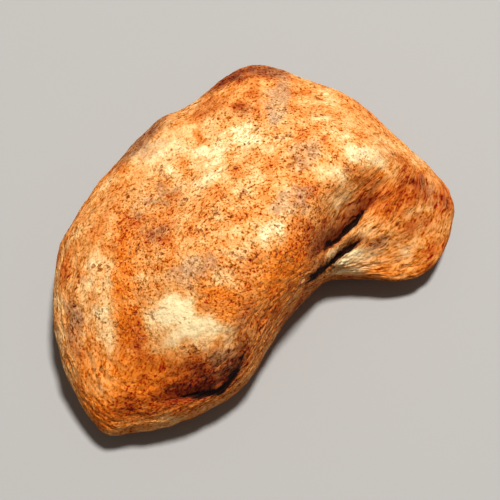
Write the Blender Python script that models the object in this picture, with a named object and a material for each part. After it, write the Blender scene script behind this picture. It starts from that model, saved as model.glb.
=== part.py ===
"""Stony meteorite: one kidney-shaped, weathered stone that lies on a small flat spot.

+X runs along the stone's longer side, +Y across it to the broad back, +Z up.
The origin is under the middle of the stone's box, on the surface that it lies on.
The stone starts as a cube, is blown up to a ball and is then given the form of the
stone: an outline seen from above, a crown over it and a keel under it.
"""

import math

import bmesh
import bpy
import numpy as np

MM = 0.001
COLLECTION = "stony_meteorite"
NODE = "stone"

# Fineness: how often each edge of the cube is cut, and steps between two stations of a curve
CUTS = 21
CURVE_STEPS = 16

# The widest line of the stone, going counterclockwise from the right end, seen from above.
# Each station: x, y and height in mm, then how full the flank above it is (2 is an ellipse).
OUTLINE = (
    (22.0, 5.1, 3.9, 2.3),
    (19.6, 8.5, 4.4, 2.25),
    # the broad back, up to its top corner and down again past a shallow hollow
    (15.6, 12.2, 4.9, 2.25),
    (11.1, 16.9, 5.3, 2.25),
    (5.4, 19.5, 5.6, 2.3),
    (-0.1, 21.2, 5.8, 2.4),
    (-4.4, 18.8, 5.8, 2.4),
    (-8.3, 15.4, 5.8, 2.4),
    (-11.4, 13.7, 5.8, 2.4),
    (-15.7, 8.7, 5.7, 2.4),
    # the long side
    (-19.0, 3.8, 5.6, 2.4),
    (-21.6, -1.0, 5.4, 2.4),
    (-22.0, -4.2, 5.2, 2.4),
    (-22.1, -9.0, 4.7, 2.4),
    (-21.0, -13.8, 4.4, 2.3),
    # the low end and the belly
    (-19.1, -18.0, 3.7, 2.3),
    (-16.3, -21.4, 2.9, 2.3),
    (-13.8, -21.4, 2.6, 2.3),
    (-10.0, -20.8, 2.8, 2.4),
    (-5.4, -19.3, 3.2, 2.4),
    (-1.7, -16.6, 3.8, 2.4),
    # the waist and the notch
    (1.2, -12.5, 4.4, 2.4),
    (3.8, -8.6, 5.0, 2.4),
    (6.4, -5.5, 4.8, 2.4),
    (8.7, -4.0, 4.2, 2.3),
    # the lobe: its lower edge and its round end
    (11.8, -4.0, 3.8, 2.2),
    (16.5, -4.3, 3.4, 2.2),
    (20.0, -2.1, 3.3, 2.3),
    (21.6, 1.4, 3.3, 2.35),
)

# The outline is walked at an even pace, but slower round the notch, in this many steps
WALK_STEPS = 1024
NOTCH = (7.5, -4.6)
NOTCH_REACH = 4.0
NOTCH_SLOWER = 2.0

# How many waves of the outline are kept, and how fast the finer ones fade towards the middle
WAVES = 40
FINE_FADE = 2

# Broad rises and falls of the crown: middle (x, y), half sizes, turn in degrees, lift in mm
CROWN_HEIGHT = 12.6
SWELLS = {
    "spine along the waist": ((0.8, -4.6), (16.0, 10.0), 52.0, 4.2),
    "left part of the plateau": ((-9.0, -7.9), (12.0, 8.0), 60.0, 1.0),
    "shoulder over the lobe": ((9.0, 8.0), (8.0, 6.0), -30.0, 2.2),
    "low end": ((-15.0, -20.9), (9.0, 9.0), 0.0, -2.6),
    "lobe": ((18.5, -4.0), (10.0, 7.5), 35.0, -6.0),
    "worn hollow": ((-9.5, 0.6), (4.0, 3.0), 20.0, -0.4),
    "foot of the lobe": ((12.0, -4.8), (5.0, 3.0), 5.0, -4.2),
}

# The valley between the shoulder and the lobe: steep on the shoulder's side
VALLEY = ((16.5, 7.4), (14.4, 4.8), (11.6, 2.0), (9.4, -0.4), (8.0, -3.2), (7.9, -8.5))
VALLEY_DEPTH = 3.2
VALLEY_STEEP_SIDE = 1.7
VALLEY_GENTLE_SIDE = 3.4
VALLEY_FADE = 0.45

# The groove inside the belly's edge, which leaves a thin lip below it
GROOVE = ((-10.5, -18.9), (-7.0, -18.3), (-4.4, -17.6), (-2.2, -16.0), (-0.8, -13.8), (0.2, -12.0))
GROOVE_DEPTH = 1.3
GROOVE_WIDTH = 1.2
GROOVE_FADE = 0.35

# The underside: how full it is, and how its keel dips to the flat spot that the stone lies on.
# Points nearer to the table than FLAT_SNAP are set on it, and cut points nearer than WELD are joined.
UNDER_FULL = 2.2
KEEL_HEIGHT = 1.1
KEEL_DIP = ((-1.8, -0.6), (13.0, 9.0), 50.0, -1.5)
KEEL_RISE = ((-14.0, -12.0), (5.0, 5.0), 0.0, 0.4)
FLAT_SNAP = 0.08
WELD = 0.02

# Finish of the solid
STONE_COLOUR = (0.56, 0.27, 0.10, 1.0)
STONE_ROUGHNESS = 0.85
SHARP_ANGLE = 40.0


def smooth_curve(points, closed):
    """A cubic through each pair of points; at each point it runs parallel to its neighbours' chord."""
    p = np.asarray(points, float)
    if closed:
        before, start, end, after = np.roll(p, 1, 0), p, np.roll(p, -1, 0), np.roll(p, -2, 0)
    else:
        p = np.concatenate([[2 * p[0] - p[1]], p, [2 * p[-1] - p[-2]]])
        before, start, end, after = p[:-3], p[1:-2], p[2:-1], p[3:]
    t = np.linspace(0, 1, CURVE_STEPS, endpoint=False)[:, None, None]
    slope_in, slope_out = (end - before) / 2, (after - start) / 2
    curve = (2 * t**3 - 3 * t**2 + 1) * start + (t**3 - 2 * t**2 + t) * slope_in
    curve = curve + (3 * t**2 - 2 * t**3) * end + (t**3 - t**2) * slope_out
    curve = curve.transpose(1, 0, 2).reshape(-1, p.shape[1])
    return curve if closed else np.concatenate([curve, end[-1:]])


def outline_waves():
    """The outline as a sum of waves: for x, y, height and fullness the size of each wave, as complex numbers."""
    curve = smooth_curve(OUTLINE, closed=True)
    curve = np.concatenate([curve, curve[:1]])
    legs = np.hypot(*np.diff(curve[:, :2], axis=0).T)
    from_notch = np.hypot(curve[1:, 0] - NOTCH[0], curve[1:, 1] - NOTCH[1]) / NOTCH_REACH
    slowness = 1 + (NOTCH_SLOWER - 1) * np.exp(-(from_notch**2))
    time = np.concatenate([[0], np.cumsum(legs * slowness)])
    clock = np.linspace(0, time[-1], WALK_STEPS, endpoint=False)
    walk = np.stack([np.interp(clock, time, column) for column in curve.T])
    return np.fft.rfft(walk)[:, : WAVES + 1] / WALK_STEPS


def ring(share, bearing):
    """x, y, rim height and fullness on the ring at a share of the way from the middle to the outline.

    Each wave of the outline fades towards the middle, the first with the share and the finer
    ones with its square, so that the rings get rounder and never cross.
    """
    waves = outline_waves()
    total = [np.full(share.shape, wave[0].real) for wave in waves]
    for n in range(1, WAVES + 1):
        turn = share ** min(n, FINE_FADE) * np.exp(1j * n * bearing)
        total = [so_far + 2 * (wave[n] * turn).real for so_far, wave in zip(total, waves)]
    return total


def swell(x, y, middle, half_sizes, turn, lift):
    """A bell over an ellipse: lift times e to the minus squared distance, counted in half sizes."""
    cos, sin = math.cos(math.radians(turn)), math.sin(math.radians(turn))
    along = ((x - middle[0]) * cos + (y - middle[1]) * sin) / half_sizes[0]
    across = ((y - middle[1]) * cos - (x - middle[0]) * sin) / half_sizes[1]
    return lift * np.exp(-(along**2) - across**2)


def ramp(t):
    """From 0 up to 1, level at both ends."""
    t = np.clip(t, 0, 1)
    return t * t * (3 - 2 * t)


def from_route(x, y, route):
    """Distance from a route, below 0 on its right, and the share of its length where that is."""
    route = smooth_curve(route, closed=False)
    legs = np.hypot(*np.diff(route, axis=0).T)
    start = np.concatenate([[0], np.cumsum(legs)])
    nearest = np.full(x.shape, np.inf)
    signed = np.zeros(x.shape)
    share = np.zeros(x.shape)
    for leg, from_start, a, b in zip(legs, start, route[:-1], route[1:]):
        ahead = (b - a) / leg
        t = np.clip((x - a[0]) * ahead[0] + (y - a[1]) * ahead[1], 0, leg)
        dx, dy = x - a[0] - t * ahead[0], y - a[1] - t * ahead[1]
        distance = np.hypot(dx, dy)
        closer = distance < nearest
        nearest = np.where(closer, distance, nearest)
        signed = np.where(closer, distance * np.sign(ahead[0] * dy - ahead[1] * dx), signed)
        share = np.where(closer, (from_start + t) / start[-1], share)
    return signed, share


def crown(x, y):
    """Height of the top as it would be if the flanks didn't round it off, in mm."""
    height = CROWN_HEIGHT + sum(swell(x, y, *form) for form in SWELLS.values())
    signed, share = from_route(x, y, VALLEY)
    width = np.where(signed < 0, VALLEY_STEEP_SIDE, VALLEY_GENTLE_SIDE)
    height = height - VALLEY_DEPTH * ramp(share / VALLEY_FADE) * np.exp(-((signed / width) ** 2))
    signed, share = from_route(x, y, GROOVE)
    fade = ramp(share / GROOVE_FADE) * ramp((1 - share) / GROOVE_FADE)
    return height - GROOVE_DEPTH * fade * np.exp(-((signed / GROOVE_WIDTH) ** 2))


def keel(x, y):
    """Height of the underside as it would be if the flanks didn't round it off, in mm."""
    return KEEL_HEIGHT + swell(x, y, *KEEL_DIP) + swell(x, y, *KEEL_RISE)


def stone_points(ball):
    """The stone's surface in mm, one point for each direction of a ball.

    A direction's bearing picks a station of the outline. Its slope places the point between
    the middle and the rim, and between the rim and the crown or the keel, on a curve whose
    two coordinates, raised to the station's fullness, add up to 1.
    """
    flat, lift = np.hypot(ball[:, 0], ball[:, 1]), ball[:, 2]
    bearing = np.arctan2(ball[:, 1], ball[:, 0])
    full = ring(np.ones(len(ball)), bearing)[3]
    full = np.where(lift > 0, full, UNDER_FULL)
    size = (flat**full + np.abs(lift) ** full) ** (1 / full)
    share, level = flat / size, lift / size
    x, y, rim, _ = ring(share, bearing)
    cap = np.where(lift > 0, crown(x, y) - rim, rim - keel(x, y))
    z = rim + level * cap
    z = np.where(np.abs(z) < FLAT_SNAP, 0, z)
    points = np.stack([x, y, z], axis=1)
    points[:, :2] -= (points[:, :2].min(axis=0) + points[:, :2].max(axis=0)) / 2
    return points


def ball_from_cube(bm):
    """Cuts a cube into a grid, spreads the cuts evenly by angle and returns the ball's directions."""
    bmesh.ops.create_cube(bm, size=2)
    bmesh.ops.subdivide_edges(bm, edges=bm.edges[:], cuts=CUTS, use_grid_fill=True)
    cube = np.array([v.co for v in bm.verts])
    ball = np.tan(cube * math.pi / 4)
    return ball / np.linalg.norm(ball, axis=1, keepdims=True)


def wear_flat(bm):
    """Cuts off what reaches below the table and closes the cut with one flat face."""
    everything = bm.verts[:] + bm.edges[:] + bm.faces[:]
    bmesh.ops.bisect_plane(bm, geom=everything, plane_co=(0, 0, 0), plane_no=(0, 0, -1), clear_outer=True)
    cut_line = [vertex for vertex in bm.verts if vertex.co.z < WELD * MM]
    for vertex in cut_line:
        vertex.co.z = 0
    bmesh.ops.remove_doubles(bm, verts=bm.verts[:], dist=WELD * MM)
    bmesh.ops.holes_fill(bm, edges=[edge for edge in bm.edges if edge.is_boundary])


def stone_material():
    material = bpy.data.materials.new("weathered_stone")
    material.use_nodes = True
    shader = material.node_tree.nodes["Principled BSDF"]
    shader.inputs["Base Color"].default_value = STONE_COLOUR
    shader.inputs["Roughness"].default_value = STONE_ROUGHNESS
    shader.inputs["Metallic"].default_value = 0.0
    return material


def make_stone(collection):
    bm = bmesh.new()
    points = stone_points(ball_from_cube(bm)) * MM
    for vertex, point in zip(bm.verts, points):
        vertex.co = point
    wear_flat(bm)
    bmesh.ops.recalc_face_normals(bm, faces=bm.faces[:])

    mesh = bpy.data.meshes.new(NODE)
    bm.to_mesh(mesh)
    bm.free()
    mesh.shade_smooth()
    mesh.set_sharp_from_angle(angle=math.radians(SHARP_ANGLE))
    mesh.materials.append(stone_material())
    collection.objects.link(bpy.data.objects.new(NODE, mesh))


def main():
    for leftover in list(bpy.data.objects):
        bpy.data.objects.remove(leftover)
    collection = bpy.data.collections.new(COLLECTION)
    bpy.context.scene.collection.children.link(collection)
    make_stone(collection)


main()
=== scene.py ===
# %% [markdown]
# A weathered stony meteorite, small enough to close a hand round. It is one piece of stone:
# a kidney shape with a broad rounded back, a low blunt end, and a lobe that is set off from
# its shoulder by a deep fold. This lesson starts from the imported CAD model, which says how
# big the stone is and where it lies. It then builds a finer surface of the same form and
# gives it folds, pores and the rusty, patchy colours of an iron-bearing stone that has
# weathered in the ground.

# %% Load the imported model
import math

import bpy
import numpy as np
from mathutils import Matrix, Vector


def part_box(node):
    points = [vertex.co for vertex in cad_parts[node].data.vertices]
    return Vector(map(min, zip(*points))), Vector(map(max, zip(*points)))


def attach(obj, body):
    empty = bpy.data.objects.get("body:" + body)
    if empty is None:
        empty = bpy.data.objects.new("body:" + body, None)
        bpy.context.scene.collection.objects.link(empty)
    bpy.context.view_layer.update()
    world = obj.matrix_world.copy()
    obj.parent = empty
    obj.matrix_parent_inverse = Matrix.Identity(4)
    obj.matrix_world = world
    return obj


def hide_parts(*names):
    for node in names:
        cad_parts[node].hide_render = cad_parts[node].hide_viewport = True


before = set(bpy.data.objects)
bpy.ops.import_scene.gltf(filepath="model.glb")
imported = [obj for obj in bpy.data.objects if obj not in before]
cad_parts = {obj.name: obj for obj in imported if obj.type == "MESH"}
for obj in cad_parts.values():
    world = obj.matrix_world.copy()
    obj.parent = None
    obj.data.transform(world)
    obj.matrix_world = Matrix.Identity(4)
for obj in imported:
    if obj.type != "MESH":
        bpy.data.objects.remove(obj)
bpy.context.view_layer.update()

MM = 0.001
low_corner, high_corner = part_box("stone")
print("CAD stone, mm:", np.round((np.array(high_corner) - np.array(low_corner)) / MM, 2))

# %% [markdown]
# The outline. Seen from above, the stone's widest line is a closed curve with a notch where
# the lobe meets the belly. A sculptor would rough it out by eye. Here it is a list of
# stations in millimetres, the same ones that the CAD model uses, because the two have to be
# the same stone. They were placed one by one and then corrected by a program that
# compared silhouettes. The curve through them is then split into waves: coarse waves carry
# the kidney shape and fine ones the notch. Rings nearer to the middle keep less of the fine
# waves, so they get rounder and never cross each other.

# %% The outline's stations
# x, y and height in mm, then how full the flank above is, where 2 is an ellipse
OUTLINE = (
    (22.0, 5.1, 3.9, 2.3), (19.6, 8.5, 4.4, 2.25), (15.6, 12.2, 4.9, 2.25), (11.1, 16.9, 5.3, 2.25),
    (5.4, 19.5, 5.6, 2.3), (-0.1, 21.2, 5.8, 2.4), (-4.4, 18.8, 5.8, 2.4), (-8.3, 15.4, 5.8, 2.4),
    (-11.4, 13.7, 5.8, 2.4), (-15.7, 8.7, 5.7, 2.4), (-19.0, 3.8, 5.6, 2.4), (-21.6, -1.0, 5.4, 2.4),
    (-22.0, -4.2, 5.2, 2.4), (-22.1, -9.0, 4.7, 2.4), (-21.0, -13.8, 4.4, 2.3), (-19.1, -18.0, 3.7, 2.3),
    (-16.3, -21.4, 2.9, 2.3), (-13.8, -21.4, 2.6, 2.3), (-10.0, -20.8, 2.8, 2.4), (-5.4, -19.3, 3.2, 2.4),
    (-1.7, -16.6, 3.8, 2.4), (1.2, -12.5, 4.4, 2.4), (3.8, -8.6, 5.0, 2.4), (6.4, -5.5, 4.8, 2.4),
    (8.7, -4.0, 4.2, 2.3), (11.8, -4.0, 3.8, 2.2), (16.5, -4.3, 3.4, 2.2), (20.0, -2.1, 3.3, 2.3),
    (21.6, 1.4, 3.3, 2.35),
)
NOTCH = (7.5, -4.6)
NOTCH_REACH = 4.0
WAVES = 40
WALK_STEPS = 1024


def smooth_curve(points, closed, steps=16):
    """A cubic through each pair of points; at each point it runs parallel to its neighbours' chord."""
    p = np.asarray(points, float)
    if closed:
        before, start, end, after = np.roll(p, 1, 0), p, np.roll(p, -1, 0), np.roll(p, -2, 0)
    else:
        p = np.concatenate([[2 * p[0] - p[1]], p, [2 * p[-1] - p[-2]]])
        before, start, end, after = p[:-3], p[1:-2], p[2:-1], p[3:]
    t = np.linspace(0, 1, steps, endpoint=False)[:, None, None]
    slope_in, slope_out = (end - before) / 2, (after - start) / 2
    curve = (2 * t**3 - 3 * t**2 + 1) * start + (t**3 - 2 * t**2 + t) * slope_in
    curve = curve + (3 * t**2 - 2 * t**3) * end + (t**3 - t**2) * slope_out
    curve = curve.transpose(1, 0, 2).reshape(-1, p.shape[1])
    return curve if closed else np.concatenate([curve, end[-1:]])


def outline_waves():
    """The outline, walked at an even pace but half as fast round the notch, as a sum of waves."""
    curve = smooth_curve(OUTLINE, closed=True)
    curve = np.concatenate([curve, curve[:1]])
    legs = np.hypot(*np.diff(curve[:, :2], axis=0).T)
    from_notch = np.hypot(curve[1:, 0] - NOTCH[0], curve[1:, 1] - NOTCH[1]) / NOTCH_REACH
    time = np.concatenate([[0], np.cumsum(legs * (1 + np.exp(-(from_notch**2))))])
    clock = np.linspace(0, time[-1], WALK_STEPS, endpoint=False)
    walk = np.stack([np.interp(clock, time, column) for column in curve.T])
    return np.fft.rfft(walk)[:, : WAVES + 1] / WALK_STEPS


waves = outline_waves()


def ring(share, bearing):
    """x, y, rim height and fullness on a ring: wave n, turned by n bearings, times share or share squared."""
    total = [np.full(share.shape, wave[0].real) for wave in waves]
    for n in range(1, WAVES + 1):
        turn = share ** min(n, 2) * np.exp(1j * n * bearing)
        total = [so_far + 2 * (wave[n] * turn).real for so_far, wave in zip(total, waves)]
    return total


print("outline stations:", len(OUTLINE), "waves kept:", WAVES)

# %% [markdown]
# The crown and the keel. Over the outline lies a low dome with a spine along the waist, a
# shoulder at the right and a valley beside it. Broad rises and hollows like these could be
# sculpted by hand; as bells over ellipses they can be named, moved and repeated. The valley
# and the groove follow routes, drawn as points from above.

# %% Rises, valleys and grooves
# Lengths in mm. A swell: its middle, half sizes, turn in degrees, and lift
CROWN_HEIGHT = 12.6
SWELLS = {
    "spine along the waist": ((0.8, -4.6), (16.0, 10.0), 52.0, 4.2),
    "left part of the plateau": ((-9.0, -7.9), (12.0, 8.0), 60.0, 1.0),
    "shoulder over the lobe": ((9.0, 8.0), (8.0, 6.0), -30.0, 2.2),
    "low end": ((-15.0, -20.9), (9.0, 9.0), 0.0, -2.6),
    "lobe": ((18.5, -4.0), (10.0, 7.5), 35.0, -6.0),
    "worn hollow": ((-9.5, 0.6), (4.0, 3.0), 20.0, -0.4),
    "foot of the lobe": ((12.0, -4.8), (5.0, 3.0), 5.0, -4.2),
}
VALLEY = ((16.5, 7.4), (14.4, 4.8), (11.6, 2.0), (9.4, -0.4), (8.0, -3.2), (7.9, -8.5))
GROOVE = ((-10.5, -18.9), (-7.0, -18.3), (-4.4, -17.6), (-2.2, -16.0), (-0.8, -13.8), (0.2, -12.0))
GROOVE_BED = (
    (0.0, -12.4), (-0.8, -13.6), (-1.5, -14.7), (-2.2, -15.8), (-3.0, -16.8), (-3.9, -17.7),
    (-5.0, -18.2), (-6.3, -18.4), (-7.7, -18.6), (-9.6, -19.1), (-12.0, -19.7),
)
FOLD = (
    (14.6, 4.4), (12.9, 2.9), (11.1, 1.1), (9.8, -0.4), (8.5, -1.6), (7.1, -2.9), (5.4, -5.0), (4.2, -6.5),
)
CREASE = (
    (12.0, -1.0), (10.9, -1.6), (10.0, -2.1), (9.2, -2.6), (8.3, -3.3), (7.3, -4.2), (6.6, -4.9),
    (5.9, -5.6), (4.6, -7.2),
)
# The valley's depth, the share of its length over which it deepens, its half widths
VALLEY_DEEP = 3.2
VALLEY_STARTS = 0.45
VALLEY_RIGHT, VALLEY_LEFT = 1.7, 3.4
# The groove's depth and half width, and the share of its length over which each end fades
GROOVE_DEEP, GROOVE_WIDE, GROOVE_FADES = 1.3, 1.2, 0.35
# The underside's height away from the flat spot, and how full it is, where 2 is an ellipse
KEEL_HEIGHT = 1.1
UNDER_FULL = 2.2


def swell(x, y, middle, half_sizes, turn, lift):
    """A bell over an ellipse: lift times e to the minus squared distance, counted in half sizes."""
    cos, sin = math.cos(math.radians(turn)), math.sin(math.radians(turn))
    along = ((x - middle[0]) * cos + (y - middle[1]) * sin) / half_sizes[0]
    across = ((y - middle[1]) * cos - (x - middle[0]) * sin) / half_sizes[1]
    return lift * np.exp(-(along**2) - across**2)


def ramp(t):
    """From 0 up to 1, level at both ends: t squared times 3 minus 2t."""
    t = np.clip(t, 0, 1)
    return t * t * (3 - 2 * t)


def from_route(x, y, route):
    """Distance from a route, below 0 on its right, and the share of its length where that is."""
    route = smooth_curve(route, closed=False)
    legs = np.hypot(*np.diff(route, axis=0).T)
    start = np.concatenate([[0], np.cumsum(legs)])
    nearest, signed, share = np.full(x.shape, np.inf), np.zeros(x.shape), np.zeros(x.shape)
    for leg, from_start, a, b in zip(legs, start, route[:-1], route[1:]):
        ahead = (b - a) / leg
        t = np.clip((x - a[0]) * ahead[0] + (y - a[1]) * ahead[1], 0, leg)
        dx, dy = x - a[0] - t * ahead[0], y - a[1] - t * ahead[1]
        distance = np.hypot(dx, dy)
        closer = distance < nearest
        nearest = np.where(closer, distance, nearest)
        signed = np.where(closer, distance * np.sign(ahead[0] * dy - ahead[1] * dx), signed)
        share = np.where(closer, (from_start + t) / start[-1], share)
    return signed, share


def furrow(x, y, route, width, fade):
    """A groove's profile along a route: a bell of the distance across, fading at both ends."""
    signed, share = from_route(x, y, route)
    return ramp(share / fade) * ramp((1 - share) / fade) * np.exp(-((signed / width) ** 2))


def crown(x, y):
    """The top before the flanks round it off, in mm: a height plus the swells, less valley and groove."""
    height = CROWN_HEIGHT + sum(swell(x, y, *form) for form in SWELLS.values())
    signed, share = from_route(x, y, VALLEY)
    half_width = np.where(signed < 0, VALLEY_RIGHT, VALLEY_LEFT)
    height = height - VALLEY_DEEP * ramp(share / VALLEY_STARTS) * np.exp(-((signed / half_width) ** 2))
    return height - GROOVE_DEEP * furrow(x, y, GROOVE, GROOVE_WIDE, GROOVE_FADES)


def keel(x, y):
    """The underside before the flanks round it off, in mm: a height, a worn flat and a lifted corner."""
    worn_flat = swell(x, y, (-1.8, -0.6), (13, 9), 50, -1.5)
    lifted_corner = swell(x, y, (-14, -12), (5, 5), 0, 0.4)
    return KEEL_HEIGHT + worn_flat + lifted_corner


origin = np.zeros(1)
print("swells:", len(SWELLS), "crown over the origin, mm:", round(float(crown(origin, origin)[0]), 2))

# %% [markdown]
# The surface. A cube whose six sides are cut into a fine grid and blown up to a ball has
# no poles, and its cells are nearly all the same size, which suits a stone that is looked
# at from everywhere. Each direction of the ball is then given a point of the stone.

# %% A ball of grid cells, and the stone's plain form on it
CELLS = 128


def ball_grid(cells):
    """Directions and four-sided cells of a cube's sides, tan-spaced and pushed out to length 1."""
    angle = np.tan(np.linspace(-np.pi / 4, np.pi / 4, cells + 1))
    u, v = np.meshgrid(angle, angle, indexing="ij")
    one = np.ones_like(u)
    sides = ((u, v, one), (v, u, -one), (one, u, v), (-one, v, u), (v, one, u), (u, -one, v))
    points = np.concatenate([np.stack(side, -1).reshape(-1, 3) for side in sides])
    base = np.arange((cells + 1) ** 2).reshape(cells + 1, cells + 1)
    one_side = np.stack([base[:-1, :-1], base[1:, :-1], base[1:, 1:], base[:-1, 1:]], -1).reshape(-1, 4)
    quads = np.concatenate([one_side + k * base.size for k in range(6)])
    rounded = np.round(points * 1e6).astype(np.int64)
    _, first, same = np.unique(rounded, axis=0, return_index=True, return_inverse=True)
    points = points[first]
    return points / np.linalg.norm(points, axis=1, keepdims=True), same.reshape(-1)[quads]


ball, quads = ball_grid(CELLS)
bearing = np.arctan2(ball[:, 1], ball[:, 0])
flat, lift = np.hypot(ball[:, 0], ball[:, 1]), ball[:, 2]
full = np.where(lift > 0, ring(np.ones(len(ball)), bearing)[3], UNDER_FULL)
size = (flat**full + np.abs(lift) ** full) ** (1 / full)
share, level = flat / size, lift / size
x, y, rim, _ = ring(share, bearing)
z = rim + level * np.where(lift > 0, crown(x, y) - rim, rim - keel(x, y))
plain = np.stack([x, y, z], axis=1)
print("cells:", len(quads), "points:", len(plain))

# %% [markdown]
# Chance, under control. Weathered stone is irregular at every scale, so most of what
# follows is noise. Two kinds are enough: a smooth one, for lumps, stains and streaks, and
# one made of scattered seeds, for pores. Both are worked out from a shuffled table with a
# fixed seed, so the stone is the same each time.

# %% Two kinds of noise
chance = np.random.default_rng(41)
SHUFFLE = chance.permutation(256)
LEANS = chance.normal(size=(256, 3))
LEANS /= np.linalg.norm(LEANS, axis=1, keepdims=True)
SEEDS = chance.random((256, 4))


def shuffled(cell):
    """One of 256 places for each grid cell: the table at x, then at that plus y, then at that plus z."""
    place = SHUFFLE[cell[:, 0] & 255]
    place = SHUFFLE[(place + cell[:, 1]) & 255]
    return SHUFFLE[(place + cell[:, 2]) & 255]


def smooth_noise(points, seed=0):
    """About -1 to 1: each grid corner leans its own way, and the leanings are blended across the cell."""
    points = points + seed * 17.31
    cell = np.floor(points).astype(int)
    inside = points - cell
    blend = inside**3 * (inside * (inside * 6 - 15) + 10)
    total = np.zeros(len(points))
    for corner in np.ndindex(2, 2, 2):
        step = np.array(corner)
        weight = np.prod(np.where(step == 1, blend, 1 - blend), axis=1)
        total += weight * (LEANS[shuffled(cell + step)] * (inside - step)).sum(axis=1)
    return total * 1.6


def rough_noise(points, octaves, seed=0, keep=0.5):
    """Smooth noise plus itself, octaves times over, each 2.03 times as fine and keep times as high.

    The sum is divided by the root of the heights' summed squares."""
    total, height, most = np.zeros(len(points)), 1.0, 0.0
    for k in range(octaves):
        total += height * smooth_noise(points * 2.03**k, seed + k)
        most += height**2
        height *= keep
    return total / math.sqrt(most)


def scattered(points, seed=0):
    """Distance to the nearest seed, one seed in each grid cell, and that seed's own chance number."""
    points = points + seed * 11.73
    cell = np.floor(points).astype(int)
    nearest, number = np.full(len(points), 9.0), np.zeros(len(points))
    for step in np.ndindex(3, 3, 3):
        neighbour = cell + np.array(step) - 1
        seeds = SEEDS[shuffled(neighbour)]
        distance = np.linalg.norm(neighbour + seeds[:, :3] - points, axis=1)
        closer = distance < nearest
        nearest, number = np.where(closer, distance, nearest), np.where(closer, seeds[:, 3], number)
    return nearest, number


# %% [markdown]
# The grain of the stone. On the flanks the streaks and long pores run round the stone, in
# line with its edge, and on the lobe they run up along the fold. A pattern can only follow
# such a flow if it is worked out in coordinates that do. Round the flanks these are the
# bearing, laid out on a circle and squeezed 2.6 times, and the height of the slope. On the
# lobe they are the way along the fold, squeezed just as much, and how far a point is from
# the valley on its way to the edge.

# %% Which way the streaks run
# The circle's radius and the slope's scale in mm, the squeeze, the lobe's turn and width
ROUND = 23.0
SLOPE = 18.0
SQUEEZE = 2.6
LOBE_TURN = 32.0
LOBE_WIDE = 8.0

climb = np.arcsin(np.clip(level, -1, 1))
flow = np.stack([ROUND / SQUEEZE * np.cos(bearing), ROUND / SQUEEZE * np.sin(bearing), SLOPE * climb], axis=1)
flow[:, :2] *= 1 + 0.02 * smooth_noise(plain / 5.0, 3)[:, None]
flow[:, 2] += 0.9 * rough_noise(plain / 4.0, 3, 4)

cos, sin = math.cos(math.radians(LOBE_TURN)), math.sin(math.radians(LOBE_TURN))
along = x * cos + y * sin
valley_side, _ = from_route(x, y, VALLEY)
into_lobe = np.maximum(valley_side, 0)
across = np.minimum(valley_side, 0) + LOBE_WIDE * into_lobe / (into_lobe + 9 * (1 - share) + 0.3)
across = across + 0.4 * rough_noise(plain / 2.5, 2, 5)
lobe_flow = np.stack([along / SQUEEZE, across, z], axis=1)

past_valley = ramp((valley_side + 2.8) / 1.6)
on_lobe = past_valley * ramp((x - 5.5) / 2.5) * ramp((8.0 - y) / 3.0) * ramp((level + 0.1) / 0.3)
on_flank = np.where(lift > 0, ramp((share - 0.62) / 0.25), ramp((share - 0.45) / 0.3)) * (1 - on_lobe)
print("share of points on the flanks:", round(float(on_flank.mean()), 2))
print("share of points on the lobe:", round(float(on_lobe.mean()), 2))

# %% [markdown]
# Furrows and slits. Between lobe and shoulder the real stone is folded: a deep fold and a
# crease below it run down to the notch, and a third slit lies in the groove along the
# belly. Slits this narrow would need a far finer grid to be cut in full. So the mesh gets
# shallow furrows, and each point keeps how far it is from the nearest slit and how much it
# is in a slit's shade. The colour then paints the slits dark and paints shade on the wall
# above each of them.

# %% Furrows in the mesh, and the distance to the slits
FOLD_DEEP, FOLD_WIDE = 1.3, 0.40
CREASE_DEEP, CREASE_WIDE = 1.0, 0.36
BED_DEEP, BED_WIDE = 0.8, 0.45

top_side = ramp((level + 0.15) / 0.4)
fold = furrow(x, y, FOLD, FOLD_WIDE, 0.35) * top_side
crease = furrow(x, y, CREASE, CREASE_WIDE, 0.25) * top_side
groove_bed = furrow(x, y, GROOVE_BED, BED_WIDE, 0.3) * top_side
fold_depth = FOLD_DEEP * fold * (1 + 0.4 * smooth_noise(lobe_flow * 1.3, 7))
plain[:, 2] -= fold_depth + CREASE_DEEP * crease + BED_DEEP * groove_bed


def laid_over(route):
    """Distance in mm to a route laid over the stone, and the share of its length where that is."""
    path = smooth_curve(route, closed=False, steps=8)
    upper = np.flatnonzero(level > 0)
    nearest, share = np.full(len(plain), np.inf), np.zeros(len(plain))
    for along_path, point in zip(np.linspace(0, 1, len(path)), path):
        on_stone = upper[np.argmin(np.hypot(x[upper] - point[0], y[upper] - point[1]))]
        distance = np.linalg.norm(plain - plain[on_stone], axis=1)
        closer = distance < nearest
        nearest, share = np.where(closer, distance, nearest), np.where(closer, along_path, share)
    return nearest, share


LOWER_CREASE = CREASE[4:]
# Route, half width and fading share of each slit, then how many half widths of its wall get painted shade
SLITS = (
    (FOLD, 0.36, 0.4, 6.0), (CREASE, 0.28, 0.2, 2.5),
    (LOWER_CREASE, 0.46, 0.2, 2.5), (GROOVE_BED, 0.40, 0.35, 4.0),
)
# A slit is wider towards its wall; on the open side painted shade reaches this many half widths
WALL_SIDE, OPEN_SIDE, OPEN_REACH = 0.75, 1.1, 1.6

gap, painted_slit_shade = np.full(len(plain), np.inf), np.zeros(len(plain))
for route, half_width, fade, reach in SLITS:
    distance, along_slit = laid_over(route)
    open_here = ramp(along_slit / fade) * ramp((1 - along_slit) / fade)
    wall = from_route(x, y, route)[0] < 0
    away = distance / half_width * np.where(wall, WALL_SIDE, OPEN_SIDE)
    gap = np.minimum(gap, away + 2 * (1 - open_here))
    in_shade = np.clip(2.5 * open_here, 0, 1) * np.exp(-((away / np.where(wall, reach, OPEN_REACH)) ** 2))
    painted_slit_shade = np.maximum(painted_slit_shade, in_shade)
print("slits:", len(SLITS), "points inside one:", int((gap < 1).sum()))

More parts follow.
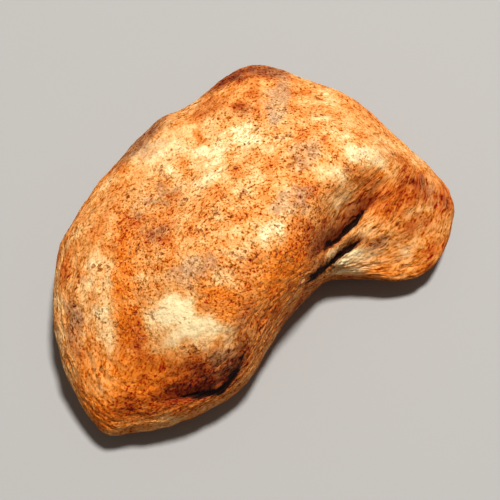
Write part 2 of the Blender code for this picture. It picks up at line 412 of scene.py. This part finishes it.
# %% [markdown]
# Relief. The real stone has soft lumps a few millimetres across, wrinkles along the flanks,
# ledges beside the fold, and pores. Bump in the material alone would leave the outline as
# smooth as an egg, so everything wider than half a millimetre is moved in the mesh itself,
# along the surface's own direction, and only the sandy grain is left to the material.

# %% Relief in the mesh
# Heights in mm; the lumps also have their width and the number of their noise
LUMPS = ((0.20, 5.5, 11), (0.10, 2.4, 12))
FLANK_WRINKLES, FLANK_LEDGES = 0.17, 0.13
LOBE_WRINKLES, LOBE_LEDGES, MORE_BY_FOLD = 0.18, 0.16, 0.18
BELLY_WRINKLES = 0.20
BELLY_EDGE = ((-15, -19.4), (-10, -18.6), (-5, -17.4), (-1, -13.5), (2, -9))
ROUGH = 0.05
PORES_DEEP, PORES_APART = 0.16, 1.5


def directions_out(points):
    """At each point the mean direction of its cells, each the cross product of the cell's diagonals."""
    a, b, c, d = (points[quads[:, k]] for k in range(4))
    faces = np.cross(c - a, d - b)
    corners = quads.ravel()
    total = np.stack([np.bincount(corners, np.repeat(faces[:, k], 4), len(points)) for k in range(3)], 1)
    return total / np.linalg.norm(total, axis=1, keepdims=True)


def ridges(points, octaves, seed):
    """Crests over round troughs, about 0 on average: 1 minus the size of rough noise, less 0.7."""
    return 1 - np.abs(rough_noise(points, octaves, seed)) - 0.7


out = directions_out(plain)
relief = sum(height * smooth_noise(plain / width, seed) for height, width, seed in LUMPS)
flank_relief = FLANK_WRINKLES * ridges(flow * 0.62, 3, 13) + FLANK_LEDGES * ridges(flow * 1.3, 2, 18)
by_fold = np.exp(-((valley_side / 2.4) ** 2))
lobe_wrinkles = (LOBE_WRINKLES + MORE_BY_FOLD * by_fold) * ridges(lobe_flow * 0.8, 3, 14)
relief = relief + on_flank * flank_relief
relief = relief + on_lobe * (lobe_wrinkles + LOBE_LEDGES * ridges(lobe_flow * 1.9, 2, 19))
belly = furrow(x, y, BELLY_EDGE, 2.2, 0.2) * top_side
relief = relief + BELLY_WRINKLES * belly * ridges(flow * 1.1, 2, 15)
relief = relief + ROUGH * rough_noise(plain / 0.9, 2, 16)
distance, number = scattered(plain / PORES_APART, 17)
pores = ramp(1 - distance / (0.10 + 0.22 * number)) * (number > 0.45)
relief = relief - PORES_DEEP * pores
off_table = ramp((plain[:, 2] - 0.05) / 0.5)
shaped = plain + out * (relief * off_table)[:, None]
shaped[:, 2] = np.maximum(shaped[:, 2], 0)
print("relief, mm: lowest", round(float(relief.min()), 2), "highest", round(float(relief.max()), 2))

# %% [markdown]
# Fitting. The relief may have pushed a point past the CAD model's box, so the finished
# points are stretched by a hair until both boxes agree. The table stays at height 0.

# %% Fit to the CAD box
low, high = np.array(low_corner) / MM, np.array(high_corner) / MM
low[2] = 0.0
stretch = (high - low) / (shaped.max(axis=0) - shaped.min(axis=0))
shaped = low + (shaped - shaped.min(axis=0)) * stretch
print("stretch to fit:", np.round(stretch, 4), "points on the table:", int((shaped[:, 2] < 1e-6).sum()))

mesh = bpy.data.meshes.new("meteorite_stone")
mesh.from_pydata((shaped * MM).tolist(), [], quads.tolist())
mesh.shade_smooth()
stone = bpy.data.objects.new("meteorite_stone", mesh)
bpy.context.scene.collection.objects.link(stone)
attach(stone, "root")
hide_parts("stone")

# %% [markdown]
# Stains. Iron in the stone has rusted and lime from the ground has stuck to it, so cream,
# tan, orange, rust and grey lie side by side. Painting them by hand would give one picture
# that only fits one view. Instead each stain is named and placed on the stone as an
# ellipse with a ragged edge. It says how far it takes the colour towards rust (below 0 is
# towards cream), how grey and how dark it makes the stone, and how smooth. The strengths
# were tuned by comparing renders with the photograph. Three of them paint light and shade
# as well, and their names say so. A few places are vivid orange besides: partly the
# stone's own orange, and partly painted light that lifts places lying in shade.

# %% Where the stains are
# middle x, y; half length, half width; turn; then tone, grey, dark, smooth
STAINS = {
    "cream shelf": (-9.4, 8.0, 4.8, 2.7, 35, -0.4, 0.15, 0.0, 0.5),
    "cream shelf, outer end": (-12.2, 7.8, 1.9, 1.4, 50, -0.2, 0.4, 0.08, 0.3),
    "bright tongue of the shelf": (-5.2, 4.4, 3.0, 1.6, -62, -0.65, 0.0, -0.05, 0.5),
    "mottled cream beside it": (-2.6, 7.4, 3.2, 2.4, 20, -0.92, 0.0, 0.0, 0.1),
    "cream pool low on the left": (-8.2, -12.2, 3.3, 2.4, -25, -0.75, 0.0, -0.05, 0.6),
    "heart of the pool": (-8.5, -12.0, 2.0, 1.4, -25, -0.8, 0.0, -0.05, 0.4),
    "pool's pale tail": (-4.9, -13.4, 2.8, 1.1, 5, -0.5, 0.0, 0.0, 0.6),
    "pool's lower rim": (-9.0, -14.3, 1.9, 0.9, 10, -0.2, 0.0, 0.0, 0.2),
    "cream on the shoulder": (11.6, 6.2, 2.5, 1.2, 15, -1.15, 0.35, 0.0, 0.3),
    "yellow slope": (7.3, 2.9, 2.2, 0.9, 30, -0.38, 0.0, 0.0, 0.5),
    "cream by the waist": (1.7, -4.0, 1.9, 1.2, 60, -1.0, 0.0, 0.0, 0.0),
    "pale back": (9.5, 10.6, 3.0, 1.8, -35, 0.2, 0.1, 0.0, 0.0),
    "pale upper back": (3.3, 17.0, 2.0, 1.5, -30, 0.35, 0.15, 0.05, 0.0),
    "pale lobe": (15.8, -2.4, 2.6, 1.0, 15, -0.35, 0.0, 0.0, 0.2),
    "pale lobe, upper": (17.6, 0.6, 2.4, 0.8, 30, 0.55, 0.1, 0.35, 0.0),
    # Partly a pale stain and partly painted light: the lobe's foot here faces away from the lamp
    "pale lobe by the notch, with painted light": (10.6, -3.1, 2.8, 1.2, 10, -0.95, 0.0, -0.15, 0.5),
    "crust on the left flank": (-17.3, -5.6, 1.0, 2.6, -8, -0.32, 0.3, 0.0, 0.0),
    "crust above the low end": (-15.8, -12.6, 1.0, 3.4, 12, -0.5, 0.2, 0.0, 0.0),
    "crust below it": (-13.4, -16.5, 0.8, 1.8, 25, -0.1, 0.1, 0.0, 0.0),
    "orange seam up the back": (-0.3, 14.0, 0.7, 4.2, 0, 0.35, 0.1, 0.1, 0.0),
    "rusty top corner": (-3.0, 18.6, 3.2, 1.4, 40, 0.6, 0.4, 0.8, 0.0),
    "brown rim behind the shelf": (-12.6, 10.6, 4.4, 1.2, 48, 0.1, 0.9, 0.6, 0.0),
    "orange spot on the shelf": (-6.3, 9.0, 0.6, 1.3, 10, 0.9, 0.0, 0.0, 0.0),
    "orange above the shelf": (-5.6, 13.0, 2.2, 1.4, 40, 0.6, 0.15, 0.25, 0.0),
    "cluster of brown pits": (-2.0, 12.2, 1.2, 0.9, -30, 0.5, 0.2, 0.45, 0.0),
    "left ridge, upper": (-14.0, -2.0, 0.9, 2.4, -10, 0.55, 0.0, 0.15, 0.0),
    "left ridge": (-14.1, -6.8, 1.0, 3.2, -3, 0.7, 0.0, 0.0, 0.0),
    "left ridge, lower": (-12.9, -14.6, 1.7, 3.2, 15, 0.8, 0.0, 0.0, 0.0),
    "rust on the belly": (-11.0, -17.0, 3.0, 1.6, -10, 0.75, 0.0, 0.05, 0.0),
    "rusty edge of the belly": (-11.6, -19.6, 5.4, 1.2, 8, 0.75, 0.0, 0.45, 0.0),
    # Only lightens: painted light on the low end's flank, which lies in shade
    "painted light on the low end": (-17.0, -18.2, 1.8, 2.8, 30, 0.0, 0.0, -0.15, 0.0),
    "orange left edge": (-20.9, -3.4, 0.8, 3.2, 4, 0.6, 0.0, 0.0, 0.0),
    "orange slope, upper left": (-16.2, 0.4, 1.4, 2.4, -25, 0.35, 0.1, 0.13, 0.0),
    "orange wedge by the pool": (-3.3, -11.2, 2.4, 1.2, -12, 0.6, 0.0, 0.0, 0.0),
    "orange waist": (2.6, -7.2, 1.1, 3.4, -42, 0.6, 0.0, -0.1, 0.0),
    "orange shoulder flank": (12.2, 3.6, 2.6, 1.1, 42, 0.2, 0.0, -0.12, 0.0),
    "orange in the middle": (2.4, 4.6, 2.2, 1.4, 20, 0.28, 0.0, 0.0, 0.0),
    "rust on the plateau": (-7.6, -6.0, 2.0, 1.0, 10, 0.1, 0.0, 0.0, 0.0),
    "rust under the hollow": (-12.6, -1.6, 1.2, 2.0, 0, 0.0, 0.35, 0.05, 0.0),
    "orange lobe": (15.6, 2.8, 3.0, 1.6, 35, 0.7, 0.0, 0.5, 0.0),
    "orange lobe edge": (18.4, -2.0, 1.6, 0.9, 30, 0.4, 0.0, 0.0, 0.0),
    "orange lobe foot": (14.2, -3.6, 1.4, 0.5, 5, -0.1, 0.0, -0.1, 0.0),
    "brown spot on the back": (7.1, 7.3, 0.6, 0.5, 0, 0.6, 0.0, 0.2, 0.0),
    "brown spot on the shoulder": (9.4, 3.8, 0.5, 0.6, 0, 0.05, 0.5, 0.1, 0.0),
    "grey band up the back": (2.2, 13.4, 1.3, 4.0, -8, -0.5, 1.0, 0.0, 0.0),
    "grey corner": (1.4, 19.4, 2.0, 1.5, 0, 0.3, 0.7, 0.7, 0.0),
    "mauve on the back": (4.8, 5.2, 1.5, 2.2, -20, -0.3, 0.85, 0.1, 0.0),
    "mauve in the middle": (3.6, -0.6, 2.3, 1.3, 20, -0.4, 0.9, 0.05, 0.0),
    "tan hollow": (-10.4, 1.6, 2.4, 2.0, 20, 0.0, 0.55, 0.15, 0.3),
    "dark below the hollow": (-10.6, -3.4, 1.7, 1.1, 0, 0.2, 0.55, 0.2, 0.0),
    "lilac patch": (-6.8, -7.9, 2.5, 1.2, 8, -0.1, 0.8, 0.0, 0.2),
    "grey left flank": (-19.4, -11.2, 0.9, 2.6, 10, 0.0, 0.75, 0.3, 0.0),
    "grey over the groove": (-3.4, -15.8, 1.8, 0.8, 25, -0.1, 0.7, 0.0, 0.0),
    "grey at the end of the waist": (-1.6, -11.8, 1.0, 1.2, 0, 0.1, 0.4, 0.15, 0.0),
    "dark belly": (-6.0, -17.0, 3.2, 1.2, 14, 0.45, 0.1, 0.5, 0.0),
    "dark belly, left end": (-9.2, -17.9, 3.6, 1.0, 6, 0.1, 0.1, -0.2, 0.0),
    "grey spot on the lobe": (13.2, -1.3, 0.9, 0.7, 30, 0.1, 0.7, 0.6, 0.0),
    # Painted shade on the shoulder's wall above the fold
    "painted shade on the wall of the fold": (7.9, -1.4, 2.8, 0.7, 45, 0.2, 0.2, 0.15, 0.0),
    "dull right edge": (20.0, 4.6, 1.8, 2.6, 35, 0.1, 0.4, 0.1, 0.0),
    "tan back edge": (16.7, 5.8, 3.8, 1.4, -31, 0.45, 0.1, 0.3, 0.0),
}

# Where the orange is vivid, partly the stone's own and partly painted light on places in shade: middle x, y;
# half length, half width; turn
VIVID = {
    "low end": (-16.6, -18.6, 3.2, 3.2, 0),
    "rust on the belly": (-10.6, -17.2, 3.2, 1.6, -10),
    "wedge by the pool": (-3.3, -10.8, 2.2, 1.4, -12),
    "waist": (2.4, -7.4, 1.6, 4.0, -42),
    "foot of the lobe": (15.0, -3.2, 3.6, 1.2, 5),
    "middle of the lobe": (14.6, 2.4, 2.6, 1.6, 35),
    "left ridge": (-13.8, -9.0, 1.4, 7.0, 0),
    "edge of the belly": (-11.6, -19.6, 5.4, 1.3, 8),
}
print("stains:", len(STAINS), "vivid places:", len(VIVID))

# %% [markdown]
# Ragged edges. On the real stone no stain ends in a clean line, so the map that the
# ellipses are drawn on is bent by noise of a few millimetres, and their strength is broken
# up by finer noise. To the stains are added the broad random stains of the hidden
# underside, painted shade by the slits, and painted shade on the near flank, which faces
# away from the lamp: there the colour turns a little rustier and its crevices turn dark.

# %% The stains and the painted shade on the stone's points
# How far the map is bent, in mm, and which way the near flank looks, in degrees
BENT = 0.75
NEAR_BEARING = -55
warp = np.stack([rough_noise(plain / 2.6, 3, 21), rough_noise(plain / 2.6, 3, 24)], axis=1)
bent_x, bent_y = x + BENT * warp[:, 0], y + BENT * warp[:, 1]
broken = rough_noise(plain / 1.1, 3, 27)


def patch(middle_x, middle_y, half_long, half_wide, turn):
    """1 inside a warped ellipse, down to 0 at 1.55 half sizes and on the underside, broken by noise."""
    cos, sin = math.cos(math.radians(turn)), math.sin(math.radians(turn))
    long = ((bent_x - middle_x) * cos + (bent_y - middle_y) * sin) / half_long
    wide = ((bent_y - middle_y) * cos - (bent_x - middle_x) * sin) / half_wide
    return ramp((1.55 - np.hypot(long, wide)) / 1.1) * top_side * (1 + 0.5 * broken)


marks = sum(patch(*stain[:5])[:, None] * np.array(stain[5:]) for stain in STAINS.values())
vivid = np.clip(sum(patch(*place) for place in VIVID.values()), 0, 1)
under = 1 - top_side
# The near flank faces away from the lamp. Painted shade makes it a little rustier and its crevices dark.
near_flank = on_flank * ramp(np.cos(bearing - math.radians(NEAR_BEARING)))
crevice_shade = near_flank * ramp(2.6 * rough_noise(flow * 1.4, 3, 37) - 0.3)
under_tone = 0.10 + 0.35 * rough_noise(plain / 4.0, 3, 31)
under_grey = 0.2 + 0.5 * rough_noise(plain / 3.2, 3, 34)
# Painted shade: the near flank and the walls by the slits turn rustier, and the walls and the near flank's
# crevices darker
tone = marks[:, 0] + 0.15 * near_flank + 0.45 * painted_slit_shade + under * under_tone
grey = np.clip(marks[:, 1] + under * under_grey, 0, 1)
dark = np.clip(marks[:, 2] + 0.12 * under + 0.9 * painted_slit_shade + 0.85 * crevice_shade, 0, 1)
smooth = np.clip(marks[:, 3], 0, 1)


def keep_on_points(name, values):
    """Stores one number, or three, for each point of the stone."""
    kind = "FLOAT" if values.ndim == 1 else "FLOAT_VECTOR"
    layer = mesh.attributes.new(name, kind, "POINT")
    layer.data.foreach_set("value" if kind == "FLOAT" else "vector", values.astype(np.float32).ravel())


for name, values in {
    "tone": tone, "grey": grey, "dark": dark, "smooth": smooth, "pores": pores, "gap": gap + 3 * under,
    "vivid": vivid, "on_flank": on_flank, "on_lobe": on_lobe, "flow": flow, "lobe_flow": lobe_flow,
}.items():
    keep_on_points(name, values)
print("tone from", round(float(tone.min()), 2), "to", round(float(tone.max()), 2))

# %% [markdown]
# The stone's finish. Photographs wrapped over the stone would be quick, but they would be
# someone's picture and would smear on the far side. This material is worked out instead, in
# nodes. They need many small sums, so the first cell makes short helpers that add one node
# each. The second finds the place on the stone and the coordinates that follow its grain.

# %% Small helpers for nodes
finish = bpy.data.materials.new("weathered_stone_finish")
finish.use_nodes = True
tree = finish.node_tree
shader = tree.nodes["Principled BSDF"]


def node(kind, inputs=(), **settings):
    """Adds a node, sets its own settings, then links or sets its inputs, given by name or number."""
    made = tree.nodes.new(kind)
    for name, value in settings.items():
        setattr(made, name, value)
    for name, value in dict(inputs).items():
        if isinstance(value, bpy.types.NodeSocket):
            tree.links.new(value, made.inputs[name])
        else:
            made.inputs[name].default_value = value
    return made


def sums(operation, a, b=0.0, c=0.0):
    """One sum of two or three numbers: the node's operation on a, b and c."""
    return node("ShaderNodeMath", {0: a, 1: b, 2: c}, operation=operation).outputs[0]


def steps(value, low_end, high_end, low_out=0.0, high_out=1.0):
    """Maps low_end to high_end onto low_out to high_out, softly, and holds beyond."""
    inputs = {"Value": value, "From Min": low_end, "From Max": high_end}
    inputs |= {"To Min": low_out, "To Max": high_out}
    return node("ShaderNodeMapRange", inputs, interpolation_type="SMOOTHSTEP").outputs["Result"]


def noise(where, fineness, detail=2.0, roughness=0.55):
    """Noise centred on 0, mostly within -0.5 to 0.5: twice the node's 0 to 1, minus 1."""
    inputs = {"Vector": where, "Scale": fineness, "Detail": detail, "Roughness": roughness}
    return sums("MULTIPLY_ADD", node("ShaderNodeTexNoise", inputs).outputs["Fac"], 2.0, -1.0)


def mix_number(share_of_b, a, b):
    """a and b in parts: a times what is left of 1, plus b times its share."""
    return node("ShaderNodeMix", {0: share_of_b, 2: a, 3: b}).outputs[0]


def mix_colour(share_of_b, a, b, blend="MIX"):
    """Colour b laid over a in its share; as MULTIPLY, a times b in that share."""
    made = node("ShaderNodeMix", data_type="RGBA", blend_type=blend)
    for socket, value in ((0, share_of_b), (6, a), (7, b)):
        if isinstance(value, bpy.types.NodeSocket):
            tree.links.new(value, made.inputs[socket])
        else:
            made.inputs[socket].default_value = value
    return made.outputs[2]


def on_points(name, output="Fac"):
    """A value that was kept on the mesh's points, read back by its name."""
    return node("ShaderNodeAttribute", attribute_name=name).outputs[output]


def shifted(where, by):
    """Three numbers, each with its own one added. Noise at a shifted place has another pattern."""
    return node("ShaderNodeVectorMath", {0: where, 1: by}, operation="ADD").outputs[0]


def times(where, by):
    """Three numbers, each times its own factor."""
    return node("ShaderNodeVectorMath", {0: where, 1: by}, operation="MULTIPLY").outputs[0]


def scaled(where, by):
    """Three numbers, all times the same factor."""
    return node("ShaderNodeVectorMath", {0: where, "Scale": by}, operation="SCALE").outputs[0]


print("material:", finish.name)

# %% Places: millimetres on the stone, round the flanks and along the lobe
coords = node("ShaderNodeTexCoord").outputs["Object"]
place = scaled(coords, 1 / MM)
round_flank, up_lobe = on_points("flow", "Vector"), on_points("lobe_flow", "Vector")
flank_share, lobe_share = (sums("MULTIPLY", on_points(name), 0.8) for name in ("on_flank", "on_lobe"))


def follow_grain(fineness, detail=2.0, roughness=0.55, shift=(0.0, 0.0, 0.0), cut=1.0):
    """The same noise three times, even in the middle and drawn out along the flanks and the lobe.

    A cut above 1 makes the marks round the flanks that many times shorter."""
    short_flank = times(round_flank, (cut, cut, 0.65))
    even = noise(shifted(place, shift), fineness, detail, roughness)
    flank = noise(shifted(short_flank, shift), fineness * 1.1, detail, roughness)
    lobe = noise(shifted(up_lobe, shift), fineness * 1.1, detail, roughness)
    return mix_number(lobe_share, mix_number(flank_share, even, flank), lobe)


print("nodes for places:", len(tree.nodes))

# %% [markdown]
# The ground colour. Rust and lime meet in every shade between cream, tan, orange and dark
# rust. The stains from the mesh are joined by noise at three scales, and the sum picks a
# colour from that row. Mixing the colours by eye, stain by stain, would take a node for
# each; one row of colours keeps them in keeping with each other.

# %% From cream to rust
broad = noise(place, 0.16, 3.0, 0.55)
middle = follow_grain(0.55, 2.0, 0.5, cut=1.5)
small = follow_grain(1.5, 2.0, 0.55, (7.0, 3.0, 5.0), cut=1.4)
sand = follow_grain(2.9, 2.0, 0.6, (3.0, 9.0, 1.0), cut=1.5)

calm = mix_number(on_points("smooth"), 1.0, 0.45)
mottle = sums("MULTIPLY_ADD", middle, 1.35, sums("MULTIPLY", small, 0.30))
mottle = sums("MULTIPLY", mottle, calm)
total_tone = sums("ADD", sums("MULTIPLY_ADD", broad, 1.2, on_points("tone")), mottle)

COLOURS = (
    (0.00, (0.99, 0.80, 0.48)),
    (0.18, (0.88, 0.53, 0.24)),
    (0.36, (0.80, 0.38, 0.125)),
    (0.52, (0.72, 0.27, 0.060)),
    (0.68, (0.60, 0.155, 0.017)),
    (0.84, (0.38, 0.066, 0.005)),
)
ramp_node = node("ShaderNodeValToRGB", {"Fac": steps(total_tone, -1.45, 1.6, 0.0, COLOURS[-1][0])})
ramp_node.color_ramp.interpolation = "EASE"
for place_on_ramp, _ in COLOURS[1:-1]:
    ramp_node.color_ramp.elements.new(place_on_ramp)
for element, (place_on_ramp, colour) in zip(ramp_node.color_ramp.elements, COLOURS):
    element.position = place_on_ramp
    element.color = (*colour, 1.0)
rusty = ramp_node.outputs["Color"]
print("colours from cream to rust:", len(COLOURS))

# %% [markdown]
# Grey, vivid orange and specks. Over the rust lie grey-brown patches, vivid orange ones,
# small dark specks where grains have fallen out, and pale grains of lime. Scattering them
# as tiny pieces of their own would need thousands, so each is a noise with its weak parts
# cut off. The vivid orange is partly the stone's own and partly painted light that lifts
# places lying in shade. Then the dark stains, and the painted shade by the slits and on the
# near flank, darken the colour. Last comes a fine grain that moves the colour up and down.

# %% Patches, specks and grain
GREY_PALE, GREY_DEEP = (0.66, 0.41, 0.235, 1.0), (0.42, 0.22, 0.11, 1.0)
VIVID_ORANGE = (0.88, 0.26, 0.012, 1.0)
SPECK_BROWN = (0.36, 0.115, 0.018, 1.0)
SALT_CREAM = (0.97, 0.76, 0.48, 1.0)
# Multiplied in by the dark stains and by the painted shade
STAIN_AND_SHADE_BROWN = (0.42, 0.22, 0.10, 1.0)
GRAIN_TINT = (0.72, 0.80, 0.85)

grey_noise = follow_grain(0.8, 3.0, 0.65, (11.0, 2.0, 8.0))
greyness = steps(sums("ADD", grey_noise, on_points("grey")), 0.08, 1.05, 0.0, 0.8)
grey_colour = mix_colour(steps(small, -0.2, 0.25), GREY_PALE, GREY_DEEP)
# Vivid orange: partly the stone's own, partly painted light on places in shade
rusty = mix_colour(sums("MULTIPLY", on_points("vivid"), 0.55), rusty, VIVID_ORANGE)
stained = mix_colour(greyness, rusty, grey_colour)

clumps = noise(shifted(place, (4.0, 4.0, 9.0)), 0.45, 2.0)
speck_noise = follow_grain(1.9, 1.5, 0.5, (1.0, 6.0, 4.0), cut=1.6)
specks = sums("MULTIPLY", steps(sums("MULTIPLY_ADD", clumps, 0.9, speck_noise), 0.34, 0.50), calm)
stained = mix_colour(sums("MULTIPLY", specks, 0.75), stained, SPECK_BROWN)
salt = steps(follow_grain(2.2, 1.5, 0.5, (8.0, 5.0, 2.0), cut=1.6), 0.22, 0.42)
stained = mix_colour(sums("MULTIPLY", salt, 0.16), stained, SALT_CREAM)

# Darker where the stains, the underside and the pores are dark, and where shade is painted by the slits and
# in the near flank's crevices
shade = sums("ADD", on_points("dark"), sums("MULTIPLY", on_points("pores"), 0.5))
deepened = mix_colour(shade, stained, STAIN_AND_SHADE_BROWN, "MULTIPLY")

grit = follow_grain(4.6, 1.0, 0.5, (2.0, 8.0, 7.0), cut=1.6)
speckled = sums("MULTIPLY_ADD", small, 0.6, sums("MULTIPLY_ADD", sand, 1.0, sums("MULTIPLY", grit, 1.1)))
speckled = sums("MULTIPLY", sums("MINIMUM", speckled, 0.16), calm)
root = node("ShaderNodeGamma", {"Color": deepened, "Gamma": 0.5}).outputs[0]
grained = shifted(deepened, scaled(times(root, GRAIN_TINT), speckled))
print("nodes so far:", len(tree.nodes))

# %% [markdown]
# The slits' colour. Dirt and shade make a real slit nearly black, with a ragged edge that
# follows the ledges. Here that black is painted shade, with some dirt, on furrows that are
# too shallow to go dark by themselves. The distance to the slit, roughened by streaks,
# says where that is.

# %% Dark slits
# Painted shade, with some dirt, inside the slits
SLIT_BLACK = (0.016, 0.003, 0.001, 1.0)

streaks = follow_grain(1.3, 3.0, 0.6, (6.0, 1.0, 3.0))
in_slit = steps(sums("MULTIPLY_ADD", on_points("gap"), 0.55, sums("MULTIPLY", streaks, 1.2)), 0.85, 0.30)
coloured = mix_colour(in_slit, grained, SLIT_BLACK)
no_darker = {0: coloured, 1: SLIT_BLACK[:3]}
coloured = node("ShaderNodeVectorMath", no_darker, operation="MAXIMUM").outputs[0]
tree.links.new(coloured, shader.inputs["Base Color"])
print("nodes so far:", len(tree.nodes))

# %% [markdown]
# Sheen and grain. The stone is dull, with a shine that differs a little from grain to
# grain, and it feels like fine sandpaper. Grains this small are too fine for the mesh, so
# bump in the material makes them, weaker on the smooth stains.

# %% Roughness and bump
GRAIN_HEIGHT = 0.21 * MM

roughness = steps(sums("ADD", small, sand), -0.4, 0.4, 0.70, 0.92)
tree.links.new(roughness, shader.inputs["Roughness"])
shader.inputs["Specular IOR Level"].default_value = 0.2

grain = follow_grain(1.3, 3.0, 0.55, (5.0, 1.0, 2.0), cut=1.6)
grain_height = mix_number(on_points("smooth"), 1.0, 0.3)
height = sums("SUBTRACT", sums("MULTIPLY", grain, grain_height), sums("MULTIPLY", specks, 0.25))
bump = node("ShaderNodeBump", {"Height": height, "Strength": 1.0, "Distance": GRAIN_HEIGHT})
tree.links.new(bump.outputs["Normal"], shader.inputs["Normal"])
mesh.materials.append(finish)
print("nodes in the finish:", len(tree.nodes))

# %% [markdown]
# The floor. A plain pale sheet, as in a studio, that curves up far behind whatever is
# photographed, so that no edge shows even when the camera is low. A flat plane would end
# in a hard line there. It is a profile turned round the upright axis.

# %% Floor
PAPER_GREY = (0.44, 0.44, 0.44, 1.0)
ROUND_STEPS = 96


def turned(profile, count):
    """A profile of radius and height carried round the upright axis: (r cos a, r sin a, z)."""
    angle = np.linspace(0, 2 * np.pi, count, endpoint=False)
    r, h = np.asarray(profile, float).T
    columns = (np.outer(r, np.cos(angle)), np.outer(r, np.sin(angle)), np.repeat(h[:, None], count, 1))
    row = np.arange(count)
    after = np.roll(row, -1)
    base = np.arange(len(r) - 1)[:, None] * count
    faces = np.stack([base + row, base + after, base + count + after, base + count + row], -1)
    return np.stack(columns, -1).reshape(-1, 3), faces.reshape(-1, 4)


rise = np.linspace(0, np.pi / 2, 24)
profile = [(0.001, 0.0), (0.2, 0.0), *zip(0.7 + 0.5 * np.sin(rise), 0.5 - 0.5 * np.cos(rise)), (1.2, 0.8)]
points, faces = turned(profile, ROUND_STEPS)
floor_mesh = bpy.data.meshes.new("floor")
floor_mesh.from_pydata(points.tolist(), [], faces.tolist() + [list(range(ROUND_STEPS))])
floor_mesh.shade_smooth()
floor = bpy.data.objects.new("floor", floor_mesh)
bpy.context.scene.collection.objects.link(floor)
paper = bpy.data.materials.new("pale_paper")
paper.use_nodes = True
paper_finish = {"Base Color": PAPER_GREY, "Roughness": 0.9, "Specular IOR Level": 0.2}
for socket, value in paper_finish.items():
    paper.node_tree.nodes["Principled BSDF"].inputs[socket].default_value = value
floor_mesh.materials.append(paper)
print("floor, m across:", round(float(np.ptp(points[:, 0])), 2))

# %% [markdown]
# Light. The stone's forms read best under one strong light from behind it, a little to the
# right and high up, which leaves the near flanks and the fold in shadow. A bare bulb would
# give hard shadows, so this is a disk of some size, and a dim room fills the dark side.

# %% Lamp and room
# Degrees, metres and watts
LAMP_BEARING = 58.0
LAMP_RISE = 74.0
LAMP_AWAY = 0.8
LAMP_SIZE = 0.13
LAMP_POWER = 8.2
LAMP_COLOUR = (1.0, 0.98, 0.94)
ROOM_COLOUR = (1.0, 0.86, 0.74, 1.0)
ROOM_STRENGTH = 0.20

b, r = math.radians(LAMP_BEARING), math.radians(LAMP_RISE)
toward = Vector((math.cos(r) * math.cos(b), math.cos(r) * math.sin(b), math.sin(r)))
lamp_data = bpy.data.lights.new("lamp", "AREA")
lamp_data.shape = "DISK"
lamp_data.size = LAMP_SIZE
lamp_data.energy = LAMP_POWER
lamp_data.color = LAMP_COLOUR
lamp = bpy.data.objects.new("lamp", lamp_data)
lamp.location = toward * LAMP_AWAY
lamp.rotation_euler = toward.to_track_quat("Z", "Y").to_euler()
bpy.context.scene.collection.objects.link(lamp)

room = bpy.data.worlds.new("room")
room.use_nodes = True
room.node_tree.nodes["Background"].inputs["Color"].default_value = ROOM_COLOUR
room.node_tree.nodes["Background"].inputs["Strength"].default_value = ROOM_STRENGTH
bpy.context.scene.world = room
print("lamp at, m:", tuple(round(v, 3) for v in lamp.location))

# %% [markdown]
# The camera. It stands about 15 cm away and looks down steeply on the stone, which shows
# the crown and the near flanks at once. Its angle, distance and focal length are estimates
# that make the stone fill as much of the picture as it should.

# %% Camera
# The picture is square, and its focal length is given in its pixels; lengths are in mm
PICTURE = 500
FOCAL = 1270
VIEW_DOWN = 67.0
VIEW_AWAY = 145.0
AIM = (-0.777, 1.019)
camera_data = bpy.data.cameras.new("camera")
camera_data.sensor_width = 36.0
camera_data.lens = FOCAL / PICTURE * camera_data.sensor_width
camera_data.clip_start = 0.01
camera = bpy.data.objects.new("camera", camera_data)
down = math.radians(VIEW_DOWN)
look = Vector((0.0, math.cos(down), -math.sin(down)))
camera.location = (Vector((*AIM, 0.0)) - look * VIEW_AWAY) * MM
camera.rotation_euler = (-look).to_track_quat("Z", "Y").to_euler()
bpy.context.scene.collection.objects.link(camera)
bpy.context.scene.camera = camera
bpy.context.scene.view_settings.view_transform = "Standard"
bpy.context.scene.view_settings.gamma = 0.85
print("camera at, m:", tuple(round(v, 3) for v in camera.location))

# %% [markdown]
# The last cell brings the scene up to date.

# %% Update the scene
bpy.context.view_layer.update()
